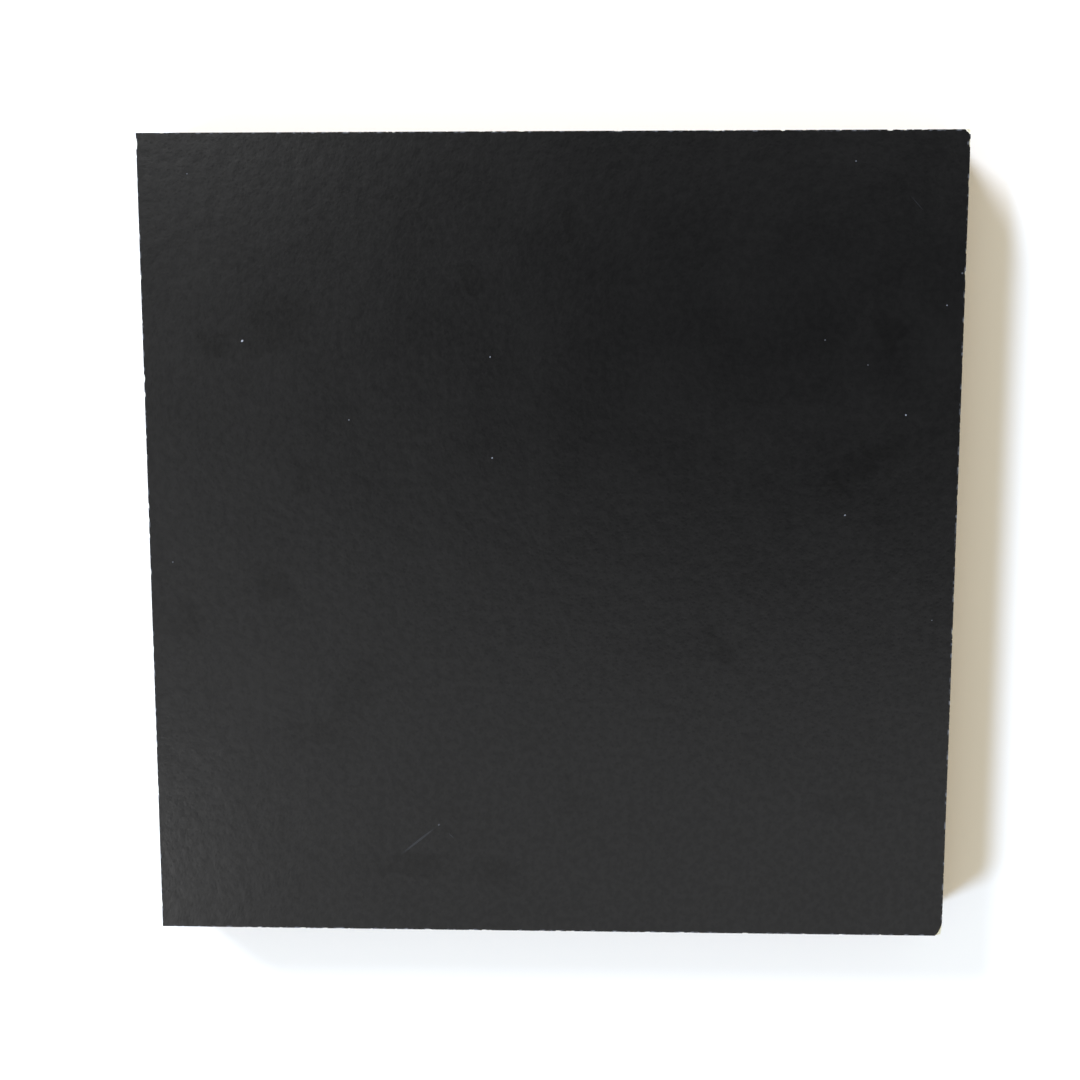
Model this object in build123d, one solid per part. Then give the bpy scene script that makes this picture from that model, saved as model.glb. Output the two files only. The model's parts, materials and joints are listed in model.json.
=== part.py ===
"""A square of film-faced plywood, one piece of raw stock, lying on its back.

Thin birch veneers and a phenolic film on each face were pressed into one panel,
and this square was sawn from it, so it is one solid. X and Y run along the sawn
edges, +Z is the direction that the good face looks. The origin is the middle of
the back, on the surface that the sheet lies on. Sizes are in millimetres.
"""
from build123d import *
import os

# Driving sizes of the sheet
sheet_width = 200.0  # along X, between the two side edges
sheet_length = 200.0  # along Y, between the two end edges
sheet_thickness = 18.0  # the trade's 18 mm board

# The splinter knocked off the good face at the corner on +X and -Y
front_chip_along_width = 2.0
front_chip_along_length = 3.4
front_chip_depth = 1.2

# The smaller one at the corner on +X and +Y
rear_chip_along_width = 1.3
rear_chip_along_length = 1.3
rear_chip_depth = 0.8


def pressed_board():
    """The board as the press and the saw leave it: flat faces and square edges."""
    on_its_back = (Align.CENTER, Align.CENTER, Align.MIN)
    return Box(sheet_width, sheet_length, sheet_thickness, align=on_its_back)


def break_corner(board, side_x, side_y, along_width, along_length, depth):
    """Breaks one top corner off along the flat that joins a point on each of its three edges."""
    corner = Vector(side_x * sheet_width / 2, side_y * sheet_length / 2, sheet_thickness)
    on_end_edge = corner - Vector(side_x * along_width, 0, 0)
    on_side_edge = corner - Vector(0, side_y * along_length, 0)
    on_upright_edge = corner - Vector(0, 0, depth)
    outward = (on_side_edge - on_end_edge).cross(on_upright_edge - on_end_edge)
    if outward.dot(corner - on_end_edge) < 0:
        outward = outward * -1
    break_face = Plane(origin=on_end_edge, z_dir=outward)
    return split(board, bisect_by=break_face, keep=Keep.BOTTOM)


plywood_sheet = pressed_board()
plywood_sheet = break_corner(
    plywood_sheet, 1, -1, front_chip_along_width, front_chip_along_length, front_chip_depth
)
plywood_sheet = break_corner(
    plywood_sheet, 1, 1, rear_chip_along_width, rear_chip_along_length, rear_chip_depth
)

os.makedirs("parts", exist_ok=True)
export_step(plywood_sheet, "parts/plywood_sheet.step")
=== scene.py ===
"""A square of film-faced plywood lying on its back on a pale floor.

Birch veneers are glued with their grain crossed from one to the next, a sheet of
black resin film is pressed on each face, and the square is sawn from the panel.
"""
import json
import math
import random

import bpy
from mathutils import Matrix, Vector

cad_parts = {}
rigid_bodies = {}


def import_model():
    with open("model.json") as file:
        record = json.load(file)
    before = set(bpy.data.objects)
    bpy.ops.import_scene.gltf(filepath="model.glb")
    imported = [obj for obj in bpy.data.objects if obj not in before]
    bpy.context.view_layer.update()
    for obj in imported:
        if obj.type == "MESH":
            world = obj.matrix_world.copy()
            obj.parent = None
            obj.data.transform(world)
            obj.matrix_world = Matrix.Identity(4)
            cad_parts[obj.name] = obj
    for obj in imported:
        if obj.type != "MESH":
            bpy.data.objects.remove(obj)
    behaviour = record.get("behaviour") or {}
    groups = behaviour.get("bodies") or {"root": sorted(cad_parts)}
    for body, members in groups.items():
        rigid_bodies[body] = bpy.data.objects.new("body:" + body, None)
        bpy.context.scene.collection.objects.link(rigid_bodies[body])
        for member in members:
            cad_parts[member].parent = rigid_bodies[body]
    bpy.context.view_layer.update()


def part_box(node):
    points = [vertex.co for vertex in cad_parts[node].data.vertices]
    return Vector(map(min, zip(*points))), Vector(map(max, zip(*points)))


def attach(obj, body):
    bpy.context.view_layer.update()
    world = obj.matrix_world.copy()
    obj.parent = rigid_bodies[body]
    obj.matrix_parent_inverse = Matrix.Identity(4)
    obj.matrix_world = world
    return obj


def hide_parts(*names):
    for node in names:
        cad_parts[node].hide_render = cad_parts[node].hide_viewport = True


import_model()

# --- The veneers ---------------------------------------------------------------
# Thirteen birch veneers, peeled from the log, dried, and glued with dark resin in
# a hot press, each with its grain across the last. The saw leaves their ends bare,
# and two corners of the top veneer are split away where the sheet was knocked.

mm = 0.001
low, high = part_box("plywood_sheet")
width, length = high.x - low.x, high.y - low.y
film_thickness = 0.2 * mm
veneer_count = 13
glue_thickness = 0.13 * mm
stack_low, stack_high = low.z + film_thickness, high.z - film_thickness
veneer_pitch = (stack_high - stack_low) / veneer_count
cuts_a_side = 49
torn_depth = 0.05 * mm
hair = 0.01 * mm  # nearer than this, two points count as level

# Each broken corner: which corner, how far it reaches along X and Y, and how deep
front_break = {"corner": (1, -1), "reach": (2.0 * mm, 3.4 * mm), "depth": 1.2 * mm}
rear_break = {"corner": (1, 1), "reach": (1.3 * mm, 1.3 * mm), "depth": 0.8 * mm}


class Tone:
    """A number that changes over a surface. Sums written on it add Math nodes to its finish."""

    def __init__(self, finish, socket):
        self.finish = finish
        self.socket = socket

    def __add__(self, other):
        return self.finish.math("ADD", self, other)

    def __radd__(self, other):
        return self.finish.math("ADD", other, self)

    def __sub__(self, other):
        return self.finish.math("SUBTRACT", self, other)

    def __rsub__(self, other):
        return self.finish.math("SUBTRACT", other, self)

    def __mul__(self, other):
        return self.finish.math("MULTIPLY", self, other)

    def __rmul__(self, other):
        return self.finish.math("MULTIPLY", other, self)

    def __truediv__(self, other):
        return self.finish.math("DIVIDE", self, other)

    def __pow__(self, other):
        return self.finish.math("POWER", self, other)

    def __abs__(self):
        return self.finish.math("ABSOLUTE", self, 0.0)


class Finish:
    """The nodes of a material, or of the room's light, added one by one."""

    def __init__(self, owner, shader="Principled BSDF"):
        owner.use_nodes = True
        self.tree = owner.node_tree
        self.shader = self.tree.nodes[shader]

    def node(self, kind, settings, sockets, output=0):
        made = self.tree.nodes.new(kind)
        for name, value in settings.items():
            setattr(made, name, value)
        for key, value in sockets.items():
            if isinstance(value, Tone):
                self.tree.links.new(value.socket, made.inputs[key])
            else:
                made.inputs[key].default_value = value
        return Tone(self, made.outputs[output])

    def math(self, operation, first, second):
        return self.node("ShaderNodeMath", {"operation": operation}, {0: first, 1: second})

    def vector(self, operation, first, second, output="Vector"):
        settings = {"operation": operation}
        return self.node("ShaderNodeVectorMath", settings, {0: first, 1: second}, output)

    def place(self):
        """Where a point lies on the sheet, in millimetres."""
        metres = self.node("ShaderNodeTexCoord", {}, {}, "Object")
        return self.vector("MULTIPLY", metres, (1000, 1000, 1000))

    def part(self, vector, axis):
        return self.node("ShaderNodeSeparateXYZ", {}, {"Vector": vector}, axis)

    def ramp(self, value, start, end):
        """0 up to start and 1 from end on, with a smooth rise between them."""
        settings = {"interpolation_type": "SMOOTHSTEP"}
        sockets = {"Value": value, "From Min": start, "From Max": end}
        return self.node("ShaderNodeMapRange", settings, sockets)

    def noise(self, vector, scale, detail=2.0, roughness=0.5, dimensions="3D"):
        settings = {"noise_dimensions": dimensions}
        sockets = {"Vector": vector, "Scale": scale, "Detail": detail, "Roughness": roughness}
        return self.node("ShaderNodeTexNoise", settings, sockets, "Fac")

    def blend(self, amount, first, second):
        """From the first colour to the second as amount goes from 0 to 1."""
        sockets = {0: amount, 6: first, 7: second}
        return self.node("ShaderNodeMix", {"data_type": "RGBA"}, sockets, 2)

    def bump(self, height, distance, **under):
        sockets = {"Strength": 1.0, "Distance": distance, "Height": height}
        return self.node("ShaderNodeBump", {}, {**sockets, **under})

    def wear(self, **sockets):
        """Sets or links the shader's own sockets, with _ for a space in their names."""
        for name, value in sockets.items():
            socket = self.shader.inputs[name.replace("_", " ")]
            if isinstance(value, Tone):
                self.tree.links.new(value.socket, socket)
            else:
                socket.default_value = value


def birch(name, along):
    """Sawn birch with its grain along X (0) or Y (1): fibres seen long, or end on and darker."""
    material = bpy.data.materials.new(name)
    finish = Finish(material)
    place = finish.place()
    stretch = [1.0, 1.0, 1.0]
    stretch[along] = 0.035  # fibres are about thirty times as long as they are wide
    layer = (finish.part(place, "Z") - film_thickness / mm) / (veneer_pitch / mm)
    number = finish.math("FLOOR", layer, 0.0)

    # Each veneer comes from another log, so its grain and its tone are its own
    own_log = finish.node(
        "ShaderNodeTexWhiteNoise", {"noise_dimensions": "1D"}, {"W": number}, "Color"
    )
    own_tone = finish.node(
        "ShaderNodeTexWhiteNoise", {"noise_dimensions": "1D"}, {"W": number + 40.5}, "Value"
    )
    grain = finish.vector(
        "ADD", finish.vector("MULTIPLY", own_log, (90, 90, 90)),
        finish.vector("MULTIPLY", place, stretch),
    )
    facing = finish.node("ShaderNodeNewGeometry", {}, {}, "Normal")
    grain_axis = (1, 0, 0) if along == 0 else (0, 1, 0)
    end_on = abs(finish.vector("DOT_PRODUCT", facing, grain_axis, "Value"))
    under_film = finish.ramp(finish.part(facing, "Z"), 0.5, 0.9)

    clouds = finish.noise(grain, 0.28, 4.0, 0.6)
    fibres = finish.noise(grain, 2.4, 6.0, 0.75)
    pores = finish.ramp(finish.noise(grain, 9.0, 2.0, 0.5), 0.56, 0.7)
    saw_marks = finish.noise(finish.vector("MULTIPLY", place, (1.6, 1.6, 0.12)), 1.0, 3.0, 0.6)

    # From pale to dark, and fresh pale wood again where the film has come away
    wood = finish.blend(clouds, (0.41, 0.305, 0.17, 1), (0.55, 0.432, 0.26, 1))
    wood = finish.blend(finish.ramp(fibres, 0.38, 0.66) * 0.5, wood, (0.33, 0.22, 0.125, 1))
    wood = finish.blend(own_tone * 0.28, wood, (0.33, 0.215, 0.12, 1))
    wood = finish.blend(end_on * (0.42 + 0.2 * fibres), wood, (0.23, 0.14, 0.07, 1))
    wood = finish.blend(pores * (0.3 + 0.35 * end_on), wood, (0.16, 0.09, 0.045, 1))
    wood = finish.blend(finish.ramp(saw_marks, 0.45, 0.72) * 0.3, wood, (0.25, 0.15, 0.08, 1))
    wood = finish.blend(under_film * 0.8, wood, (0.92, 0.87, 0.64, 1))
    relief = fibres * 0.6 + saw_marks * 0.8 - pores * (0.5 + 0.5 * end_on)
    finish.wear(
        Base_Color=wood, Roughness=0.7 + 0.18 * fibres, Normal=finish.bump(relief, 0.03 * mm)
    )
    return material


def resin_glue():
    """The dark line of cured resin between two veneers."""
    material = bpy.data.materials.new("resin_glue")
    finish = Finish(material)
    mottle = finish.noise(finish.place(), 1.3, 3.0, 0.6)
    finish.wear(
        Base_Color=finish.blend(mottle, (0.04, 0.018, 0.009, 1), (0.12, 0.062, 0.032, 1)),
        Roughness=0.5 + 0.2 * mottle,
    )
    return material


def torn_birch():
    """Fresh pale wood where a corner was split off: long torn fibres, with no saw marks."""
    material = bpy.data.materials.new("torn_birch")
    finish = Finish(material)
    fibres = finish.noise(finish.vector("MULTIPLY", finish.place(), (0.5, 5, 5)), 1.4, 4.0, 0.7)
    finish.wear(
        Base_Color=finish.blend(fibres, (0.69, 0.61, 0.37, 1), (0.9, 0.85, 0.6, 1)),
        Roughness=0.85,
        Normal=finish.bump(fibres, 0.08 * mm),
    )
    return material


def slab(name, bottom, top):
    """A flat square block of the sheet's own size between two heights."""
    bpy.ops.object.select_all(action="DESELECT")
    bpy.ops.mesh.primitive_cube_add(
        size=1,
        location=((low.x + high.x) / 2, (low.y + high.y) / 2, (bottom + top) / 2),
        scale=(width, length, top - bottom),
    )
    block = bpy.context.object
    block.name = name
    bpy.ops.object.transform_apply(location=True, rotation=True, scale=True)
    return block


def select_where(piece, kind, wanted):
    """In edit mode, selects those of the piece's edges or polygons that pass a test."""
    bpy.ops.mesh.select_mode(type={"edges": "EDGE", "polygons": "FACE"}[kind])
    bpy.ops.mesh.select_all(action="DESELECT")
    bpy.ops.object.mode_set(mode="OBJECT")
    for element in getattr(piece.data, kind):
        element.select = wanted(element)
    bpy.ops.object.mode_set(mode="EDIT")


def wear_away(piece, group, depth, grain_size):
    """Lowers a group of the piece's points by up to depth, unevenly, as a saw blade does."""
    texture = bpy.data.textures.new(group, "CLOUDS")
    texture.noise_scale = grain_size
    relief = piece.modifiers.new(group, "DISPLACE")
    relief.texture = texture
    relief.texture_coords = "LOCAL"
    relief.vertex_group = group
    relief.strength = depth
    relief.mid_level = 1
    bpy.ops.object.modifier_apply(modifier=group)


def split_corner(piece, break_):
    """Splits a corner off the piece, which leaves a rough slope of torn wood."""
    side_x, side_y = break_["corner"]
    reach_x, reach_y = break_["reach"]
    corner = Vector((high.x if side_x > 0 else low.x, high.y if side_y > 0 else low.y, high.z))
    on_end = corner - Vector((side_x * reach_x, 0, 0))
    outward = Vector((side_x / reach_x, side_y / reach_y, 1 / break_["depth"])).normalized()
    bpy.ops.object.mode_set(mode="EDIT")
    bpy.ops.mesh.select_all(action="SELECT")
    bpy.ops.mesh.bisect(plane_co=on_end, plane_no=outward, use_fill=True, clear_outer=True)
    select_where(piece, "polygons", lambda face: face.normal.dot(outward) > 0.9995)
    piece.active_material_index = piece.data.materials.find("torn_birch")
    bpy.ops.object.material_slot_assign()
    bpy.ops.mesh.quads_convert_to_tris()
    bpy.ops.mesh.subdivide(number_cuts=8)
    bpy.ops.mesh.select_less()
    bpy.ops.transform.translate(value=outward * -torn_depth)
    bpy.ops.transform.vertex_random(offset=torn_depth, uniform=0, normal=1, seed=7)
    bpy.ops.object.mode_set(mode="OBJECT")


def lay_out(piece, spot):
    """Gives the piece the flat map that its finishes are baked on; spot places each corner."""
    layer = piece.data.uv_layers.new(name="OFBake")
    for face in piece.data.polygons:
        for turn, loop in enumerate(face.loop_indices):
            point = piece.data.vertices[piece.data.loops[loop].vertex_index].co
            layer.data[loop].uv = spot(face, turn, point)


veneers = slab("veneers", stack_low, stack_high)
bpy.ops.object.mode_set(mode="EDIT")
for joint in range(1, veneer_count):
    for side in (-1, 1):
        bpy.ops.mesh.select_all(action="SELECT")
        bpy.ops.mesh.bisect(
            plane_co=(0, 0, stack_low + joint * veneer_pitch + side * glue_thickness / 2),
            plane_no=(0, 0, 1),
        )


def is_level(edge):
    """Whether an edge of the veneers lies level, and so has to be cut up along the board."""
    first, second = (veneers.data.vertices[number].co for number in edge.vertices)
    return abs(first.z - second.z) < hair


select_where(veneers, "edges", is_level)
bpy.ops.mesh.subdivide(number_cuts=cuts_a_side)
bpy.ops.object.mode_set(mode="OBJECT")

# Which veneer each face of the edges belongs to, or the glue beside it
for finish_of in (birch("birch_grain_along_x", 0), birch("birch_grain_along_y", 1)):
    veneers.data.materials.append(finish_of)
veneers.data.materials.append(resin_glue())
veneers.data.materials.append(torn_birch())
glue_number = veneers.data.materials.find("resin_glue")
torn_number = veneers.data.materials.find("torn_birch")
for face in veneers.data.polygons:
    layer = (face.center.z - stack_low) / veneer_pitch
    in_glue = abs(layer - round(layer)) * veneer_pitch < glue_thickness / 2
    on_edge = abs(face.normal.z) < 0.1
    of_its_veneer = min(int(layer), veneer_count - 1) % 2
    face.material_index = glue_number if in_glue and on_edge else of_its_veneer

# The blade lifts more from a veneer whose grain runs along the edge than from one end on
long_grain = veneers.vertex_groups.new(name="long_grain")
end_grain = veneers.vertex_groups.new(name="end_grain")
for point in veneers.data.vertices:
    layer = (point.co.z - stack_low) / veneer_pitch
    on_side = max(abs(point.co.x) - width / 2, abs(point.co.y) - length / 2) > -hair
    if on_side and 0.01 < layer < veneer_count - 0.01:
        grain_along_y = int(layer) % 2 == 1
        edge_along_y = abs(point.co.x) > width / 2 - hair
        group = long_grain if grain_along_y == edge_along_y else end_grain
        group.add([point.index], 1.0, "REPLACE")
wear_away(veneers, "long_grain", 0.12 * mm, 3 * mm)
wear_away(veneers, "end_grain", 0.04 * mm, 2 * mm)
veneers.vertex_groups.clear()
split_corner(veneers, front_break)
split_corner(veneers, rear_break)


def on_veneers(face, turn, point):
    """Four long rows for the edges, and small squares for what is torn or hidden."""
    across, up = (point.x - low.x) / width, (point.y - low.y) / length
    if face.material_index == torn_number:
        near_end = up if face.center.y < 0 else 1 - up
        start = 0.4 if face.center.y < 0 else 0.5
        return start + (1 - across) * 4, 0.91 + near_end * 4
    if abs(face.normal.z) > 0.7:
        start = 0.0 if face.normal.z > 0 else 0.1
        return start + across * 0.08, 0.91 + up * 0.08
    facing_x = abs(face.normal.x) > abs(face.normal.y)
    row = (2 if facing_x else 0) + (face.center.x + face.center.y > 0)
    height = (point.z - stack_low) / (stack_high - stack_low)
    return 0.01 + 0.98 * (up if facing_x else across), 0.005 + 0.225 * row + 0.21 * height


lay_out(veneers, on_veneers)

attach(veneers, "root")
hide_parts("plywood_sheet")

# --- The film on the good face -------------------------------------------------
# Paper soaked in black phenolic resin, cured in the press to a hard satin skin. It
# takes a fine pebble from the press plate, and the saw and knocks chip its edges.

nicks_a_side = 46
longest_nick = 2.2 * mm
overhang = 0.5 * mm  # how far the shapes that cut the film reach past it
luck = random.Random(18)

# How much of its map the open face takes, and the strip beside it, which holds the rim
face_share, small_share = 0.88, 0.1
rim_columns, rim_rows = 75, 25


def prism(outline, bottom, top):
    """An upright block with the given outline, drawn as a loop of edges and extruded."""
    bpy.ops.object.select_all(action="DESELECT")
    bpy.ops.mesh.primitive_circle_add(
        vertices=len(outline), radius=1, fill_type="NGON", location=(0, 0, bottom)
    )
    block = bpy.context.object
    bpy.ops.object.transform_apply(location=True, rotation=True, scale=True)
    for vertex, (x, y) in zip(block.data.vertices, outline):
        vertex.co.x, vertex.co.y = x, y
    bpy.ops.object.mode_set(mode="EDIT")
    bpy.ops.mesh.select_all(action="SELECT")
    bpy.ops.mesh.extrude_region_move(TRANSFORM_OT_translate={"value": (0, 0, top - bottom)})
    bpy.ops.mesh.select_all(action="SELECT")
    bpy.ops.mesh.normals_make_consistent(inside=False)
    bpy.ops.object.mode_set(mode="OBJECT")
    return block


def along_edges(count, longest, deepest):
    """Small chips scattered along all four sawn edges."""
    found = []
    for side in range(4):
        for _ in range(count):
            way = luck.uniform(low.x + 3 * mm, high.x - 3 * mm)
            long = luck.uniform(0.3 * mm, longest)
            deep = deepest * luck.uniform(0.25, 1.0) ** 2
            turn = luck.uniform(-0.12, 0.12)
            if side < 2:
                found.append((way, (low.y, high.y)[side], long, deep, turn))
            else:
                found.append(((low.x, high.x)[side - 2], way, long, deep, turn + math.pi / 2))
    return found


def chip_edges(film, middle, nicks, breaks):
    """Bites small chips out of the film's edges, and its broken corners off."""
    bites = [prism(outline, middle - overhang, middle + overhang) for outline in breaks]
    for x, y, long, deep, turn in nicks:
        bpy.ops.object.select_all(action="DESELECT")
        bpy.ops.mesh.primitive_cylinder_add(
            vertices=luck.randint(6, 9),
            radius=1,
            depth=2 * overhang,
            location=(x, y, middle),
            rotation=(0, 0, turn),
            scale=(long / 2, deep, 1),
        )
        bites.append(bpy.context.object)
    bpy.ops.object.select_all(action="DESELECT")
    for bite in bites:
        bite.select_set(True)
    bpy.context.view_layer.objects.active = bites[0]
    bpy.ops.object.join()
    bite = bpy.context.object
    cut = film.modifiers.new("chips", "BOOLEAN")
    cut.operation = "DIFFERENCE"
    cut.solver = "EXACT"
    cut.use_self = True
    cut.object = bite
    bpy.ops.object.select_all(action="DESELECT")
    film.select_set(True)
    bpy.context.view_layer.objects.active = film
    bpy.ops.object.modifier_apply(modifier="chips")
    bpy.data.objects.remove(bite)


def on_film(face, turn, point):
    """The open face large, the glued face small, and each facet of the rim by itself."""
    across, up = (point.x - low.x) / width, (point.y - low.y) / length
    outside = 1 if point.z > 0.5 * (low.z + high.z) else -1
    if face.normal.z * outside > 0.9:
        return face_share * across, face_share * up
    if face.normal.z * outside < -0.9:
        return face_share + 0.01 + small_share * across, small_share * up
    row, column = divmod(face.index, rim_columns)
    angle = 2 * math.pi * turn / len(face.loop_indices)
    return (
        (column + 0.5 + 0.4 * math.cos(angle)) * face_share / rim_columns,
        face_share + 0.01 + (row + 0.5 + 0.4 * math.sin(angle)) * small_share / rim_rows,
    )


# The dust, smears and scratches on the good face: where each lies, its length and
# width in millimetres, its turn in degrees, and how strongly it shows
dust_specks = [
    (-75.4, 50.2, 0.75, 0.55, 40, 0.55),
    (-87.8, 90.3, 0.5, 0.4, 0, 0.11),
    (-14.5, 46.3, 0.5, 0.4, 70, 0.26),
    (-14.1, 21.6, 0.5, 0.45, 10, 0.3),
    (-49.4, 30.9, 0.4, 0.4, 0, 0.2),
    (-94.3, -4.7, 0.4, 0.35, 0, 0.16),
    (86.8, 32.3, 0.5, 0.45, 120, 0.34),
    (72.7, 7.7, 0.55, 0.4, 30, 0.28),
    (95.8, 58.7, 0.45, 0.4, 0, 0.2),
    (73.1, 92.7, 0.45, 0.4, 0, 0.15),
    (66.8, 50.4, 0.4, 0.35, 0, 0.15),
    (77.3, 44.4, 0.35, 0.35, 0, 0.12),
    (94.8, -18.4, 0.4, 0.3, 0, 0.12),
    (-28.1, -72.1, 0.7, 0.5, 40, 0.08),
]
smears = [
    (-67, 54, 30, 19, 20, 0.45),
    (-83, 49, 11, 7, 25, 0.65),
    (5, 77, 9, 15, -15, 0.35),
    (-20, 65, 14, 8, -10, 0.3),
    (-61, 17, 13, 9, 60, 0.35),
    (78, 20, 34, 12, 32, 0.4),
    (82, 51, 9, 16, 0, 0.35),
    (42, -25, 16, 12, -25, 0.45),
    (-69, -10, 17, 13, -30, 0.5),
    (-91, -19, 13, 9, 0, 0.55),
    (-49, -37, 32, 13, 58, 0.35),
    (-59, -48, 24, 10, -5, 0.35),
    (-35, -83, 29, 10, 4, 0.5),
    (-13, -85, 19, 10, -8, 0.45),
    (75, -66, 24, 11, 0, 0.3),
    (6, -64, 9, 9, 0, 0.3),
]
scratches = [
    (-33.4, -76.4, 13.6, 0.8, 39, 0.24),
    (-24.9, -75.0, 2.4, 0.2, -42, 0.35),
    (87.9, 82.8, 5.6, 0.16, -48, 0.25),
    (-84.0, 47.5, 11.0, 0.3, -62, -0.8),
    (-86.5, 49.5, 8.0, 0.28, -66, -0.7),
    (-89.5, -20.5, 14.0, 0.8, -6, -0.7),
]
worn_edges = [
    (-99.9, 97.6, 3.6, 0.7, 84, 0.5),
    (-99.9, 41.4, 2.0, 0.6, 90, 0.3),
    (-99.9, 36.7, 1.6, 0.5, 90, 0.3),
    (99.5, 96.8, 1.2, 0.7, 90, 0.5),
    (99.2, 66.3, 0.7, 0.6, 0, 0.5),
]


def mark(finish, place, edge, x, y, long, wide, turn, strength):
    """One oval mark on the good face: edge is how much of it fades away at the rim."""
    settings = {"vector_type": "TEXTURE"}
    sockets = {
        "Vector": place,
        "Location": (x, y, high.z / mm),
        "Rotation": (0, 0, math.radians(turn)),
        "Scale": (long / 2, wide / 2, 1),
    }
    inside = finish.node("ShaderNodeMapping", settings, sockets)
    away = finish.vector("LENGTH", inside, (0, 0, 0), "Value")
    return (1 - finish.ramp(away, 1 - edge, 1)) * strength


def marks(finish, place, edge, listed):
    """The strongest of the listed marks at each point."""
    strongest = mark(finish, place, edge, *listed[0])
    for each in listed[1:]:
        strongest = finish.math("MAXIMUM", strongest, mark(finish, place, edge, *each))
    return strongest


def black_film(name, marked):
    """Black cured resin film with a satin pebble; the good face has its marks too."""
    material = bpy.data.materials.new(name)
    finish = Finish(material)
    place = finish.place()

    # Fine pebbles and pits from the press plate, over a slow swell of the wood below
    pebble = finish.noise(place, 0.33, 3.0, 0.45, "2D")
    pits = finish.node(
        "ShaderNodeTexVoronoi", {"voronoi_dimensions": "2D"},
        {"Vector": place, "Scale": 0.62}, "Distance",
    )
    pit = 1 - finish.ramp(pits, 0.05, 0.33)
    speckle = finish.ramp(finish.noise(place, 0.55, 2.5, 0.5, "2D") - 0.25 * pit, 0.28, 0.68)
    swell = finish.noise(place, 0.12, 1.0, 0.5, "2D")
    clouds = finish.noise(place, 0.05, 4.0, 0.62, "2D")
    bump = finish.bump(pebble - 0.15 * pit, 0.044 * mm)
    bump = finish.bump(swell, 0.03 * mm, Normal=bump)

    # The resin is a little greyer where it is thin, and glossier where it is smooth
    mottle = 0.75 * clouds + 0.25 * speckle
    tone = finish.blend(mottle, (0.0036, 0.0033, 0.0028, 1), (0.007, 0.0064, 0.0053, 1))
    polish = 0.15 + 0.12 * speckle
    shine = 0.22 + 0.08 * (clouds - 0.5)

    # The last half millimetre at the rim is rubbed grey in places
    from_middle = finish.vector("ABSOLUTE", place, (0, 0, 0))
    to_rim = finish.math("MAXIMUM", finish.part(from_middle, "X"), finish.part(from_middle, "Y"))
    patchy = finish.noise(place, 0.5, 2.0, 0.5, "2D")
    rubbed = finish.ramp(to_rim, 99.55, 99.95) * finish.ramp(patchy, 0.5, 0.7)
    if marked:
        ragged = finish.node(
            "ShaderNodeTexNoise", {"noise_dimensions": "2D"},
            {"Vector": place, "Scale": 0.22, "Detail": 3.0}, "Color",
        )
        shift = finish.vector("SUBTRACT", ragged, (0.5, 0.5, 0.5))
        shifted = finish.vector("ADD", place, finish.vector("MULTIPLY", shift, (14, 14, 0)))

        # The pebble is rougher over a broad patch, where the press plate had worn
        grit = finish.ramp(finish.noise(place, 0.8, 2.0, 0.55, "2D") - 0.3 * pit, 0.3, 0.65)
        worn_plate = mark(finish, place, 1.0, -45, 55, 190, 150, -25, 1.0)
        shine = shine + (0.5 - grit) * (0.004 + 0.055 * worn_plate)

        smear = marks(finish, shifted, 0.75, smears)
        tone = finish.blend(smear, tone, (0.0013, 0.0012, 0.001, 1))
        scratch = marks(finish, place, 0.6, scratches)
        tone = finish.blend(scratch, tone, (0.06, 0.062, 0.06, 1))
        polish = polish * (1 - 0.3 * smear)
        rubbed = finish.math("MAXIMUM", rubbed, marks(finish, place, 0.7, worn_edges))
        dust = marks(finish, place, 0.45, dust_specks)
    tone = finish.blend(rubbed * 0.6, tone, (0.2, 0.2, 0.19, 1))
    shine = shine + 0.4 * rubbed
    if marked:
        tone = finish.blend(dust, tone, (0.62, 0.62, 0.6, 1))
        shine = shine + 0.5 * dust
    finish.wear(
        Base_Color=tone, Roughness=shine, Normal=bump, Coat_Weight=polish,
        Coat_Roughness=0.24, Specular_IOR_Level=0.4,
    )
    return material


face_film = slab("face_film", stack_high, high.z)
right, rear, front = high.x, high.y, low.y
front_outline = [
    (right - 2.05 * mm, front - overhang),
    (right + overhang, front - overhang),
    (right + overhang, front + 3.5 * mm),
    (right - 0.02 * mm, front + 3.4 * mm),
    (right - 0.22 * mm, front + 2.6 * mm),
    (right - 0.5 * mm, front + 1.85 * mm),
    (right - 0.78 * mm, front + 1.2 * mm),
    (right - 1.15 * mm, front + 0.55 * mm),
    (right - 1.6 * mm, front + 0.14 * mm),
]
rear_outline = [
    (right + overhang, rear - 1.35 * mm),
    (right + overhang, rear + overhang),
    (right - 1.35 * mm, rear + overhang),
    (right - 1.28 * mm, rear - 0.1 * mm),
    (right - 0.93 * mm, rear - 0.54 * mm),
    (right - 0.7 * mm, rear - 0.62 * mm),
    (right - 0.32 * mm, rear - 1.12 * mm),
]
knocks = [
    (right, rear - 3.2 * mm, 2.2 * mm, 0.35 * mm, math.pi / 2),
    (right, rear - 33.7 * mm, 1.2 * mm, 0.25 * mm, math.pi / 2),
    (low.x, rear - 2.6 * mm, 3.0 * mm, 0.3 * mm, math.pi / 2),
    (low.x, rear - 59.0 * mm, 2.2 * mm, 0.25 * mm, math.pi / 2),
    (low.x, rear - 63.0 * mm, 1.4 * mm, 0.22 * mm, math.pi / 2),
    (55.6 * mm, rear, 1.2 * mm, 0.25 * mm, 0),
    (81.0 * mm, rear, 1.6 * mm, 0.28 * mm, 0),
    (84.5 * mm, rear, 1.0 * mm, 0.2 * mm, 0),
]
chip_edges(
    face_film,
    high.z - film_thickness / 2,
    knocks + along_edges(nicks_a_side, longest_nick, 0.16 * mm),
    [front_outline, rear_outline],
)
face_film.data.materials.append(black_film("black_film_good_face", True))
lay_out(face_film, on_film)

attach(face_film, "root")
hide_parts("plywood_sheet")

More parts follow.
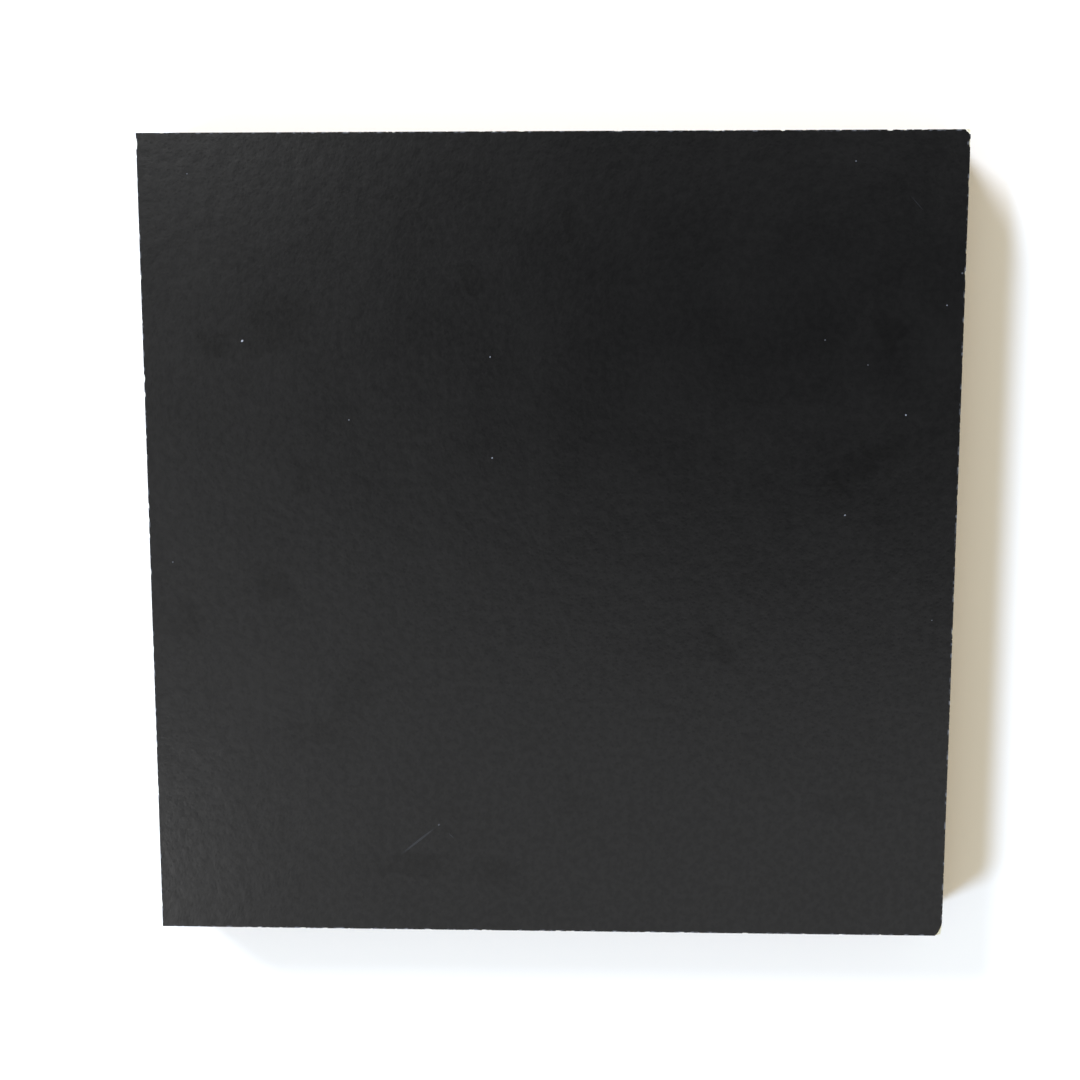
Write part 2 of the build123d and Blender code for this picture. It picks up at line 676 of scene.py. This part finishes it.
# --- The film on the back ------------------------------------------------------
# The same film, pressed on in the same stroke, so that the board stays flat.

back_film = slab("back_film", low.z, stack_low)
chip_edges(
    back_film,
    low.z + film_thickness / 2,
    along_edges(nicks_a_side // 2, longest_nick, 0.2 * mm),
    [],
)
back_film.data.materials.append(black_film("black_film_back", False))
lay_out(back_film, on_film)

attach(back_film, "root")
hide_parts("plywood_sheet")

# --- The floor -----------------------------------------------------------------
# A plain pale floor, well past what the camera sees.

bpy.ops.object.select_all(action="DESELECT")
bpy.ops.mesh.primitive_plane_add(size=12, location=(0, 0, low.z))
floor = bpy.context.object
floor.name = "floor"
pale_floor = bpy.data.materials.new("pale_floor")
Finish(pale_floor).wear(Base_Color=(0.95, 0.893, 0.745, 1), Roughness=0.9, Specular_IOR_Level=0.1)
floor.data.materials.append(pale_floor)

# --- Light ---------------------------------------------------------------------
# A bright room that is dim straight overhead. Two windows on the left light the
# sheet and the floor, but only the room and two skylights show in reflections.


def window(name, towards, strength, wide, colour, reflected):
    """Soft light from far off: the direction it comes from, its power and how wide it looks."""
    lamp = bpy.data.lights.new(name, "SUN")
    lamp.energy = strength
    lamp.angle = math.radians(wide)
    lamp.color = colour
    holder = bpy.data.objects.new(name, lamp)
    holder.visible_glossy = reflected
    holder.rotation_mode = "QUATERNION"
    holder.rotation_quaternion = Vector(towards).to_track_quat("Z", "Y")
    bpy.context.scene.collection.objects.link(holder)


window("rear_window", (-1.45, 1.6, 1.0), 4.3, 24, (0.86, 1.0, 1.42), False)
window("front_window", (-1.0, -0.6, 1.0), 2.15, 15, (0.74, 1.0, 1.62), False)
window("rear_skylight", (-0.262, 0.193, 0.945), 0.024, 8, (1.0, 1.0, 1.0), True)
window("front_skylight", (-0.345, -0.35, 0.87), 0.05, 8, (1.0, 1.0, 1.0), True)

room = bpy.data.worlds.new("room")
bpy.context.scene.world = room
sky = Finish(room, "Background")
direction = sky.node("ShaderNodeTexCoord", {}, {}, "Generated")

# The dim patch of the ceiling is an oval, and the room brightens away from it
from_dim_patch = sky.vector("SUBTRACT", direction, (0.152, 0.024, 0))
in_its_widths = sky.vector("MULTIPLY", from_dim_patch, (1 / 0.493, 1 / 0.278, 0))
away = sky.vector("LENGTH", in_its_widths, (0, 0, 0), "Value")
room_light = sky.math("MINIMUM", away ** 2.39, 1.0) * 0.68

# The walls are faintly warm, and the horizon is as white as the floor that it meets
white, warm_white = (1.0, 1.0, 1.0, 1), (1.035, 1.0, 0.93, 1)
elevation = sky.part(direction, "Z")
overhead = sky.ramp(elevation, 0.7, 0.9)
horizon = 1 - sky.ramp(elevation, 0.04, 0.2)
walls = sky.blend(overhead, warm_white, white)
sky.wear(Color=sky.blend(horizon, walls, white), Strength=room_light + 0.4 * horizon)

bpy.context.scene.view_settings.view_transform = "Standard"

# --- The camera ----------------------------------------------------------------
# A 50 mm lens looking down on the sheet, a little from its rear edge.

eye = Vector((9.5 * mm, 49.9 * mm, 386.6 * mm))
aim = Vector((-2.3 * mm, 1.25 * mm, high.z))
lens = bpy.data.cameras.new("camera")
lens.lens = 50
lens.sensor_width = 36
lens.clip_start = 0.01
camera = bpy.data.objects.new("camera", lens)
back = (eye - aim).normalized()
right_hand = Vector((0, 1, 0)).cross(back).normalized()
camera.location = eye
camera.rotation_mode = "QUATERNION"
camera.rotation_quaternion = (
    Matrix((right_hand, back.cross(right_hand), back)).transposed().to_quaternion()
)
bpy.context.scene.collection.objects.link(camera)
bpy.context.scene.camera = camera
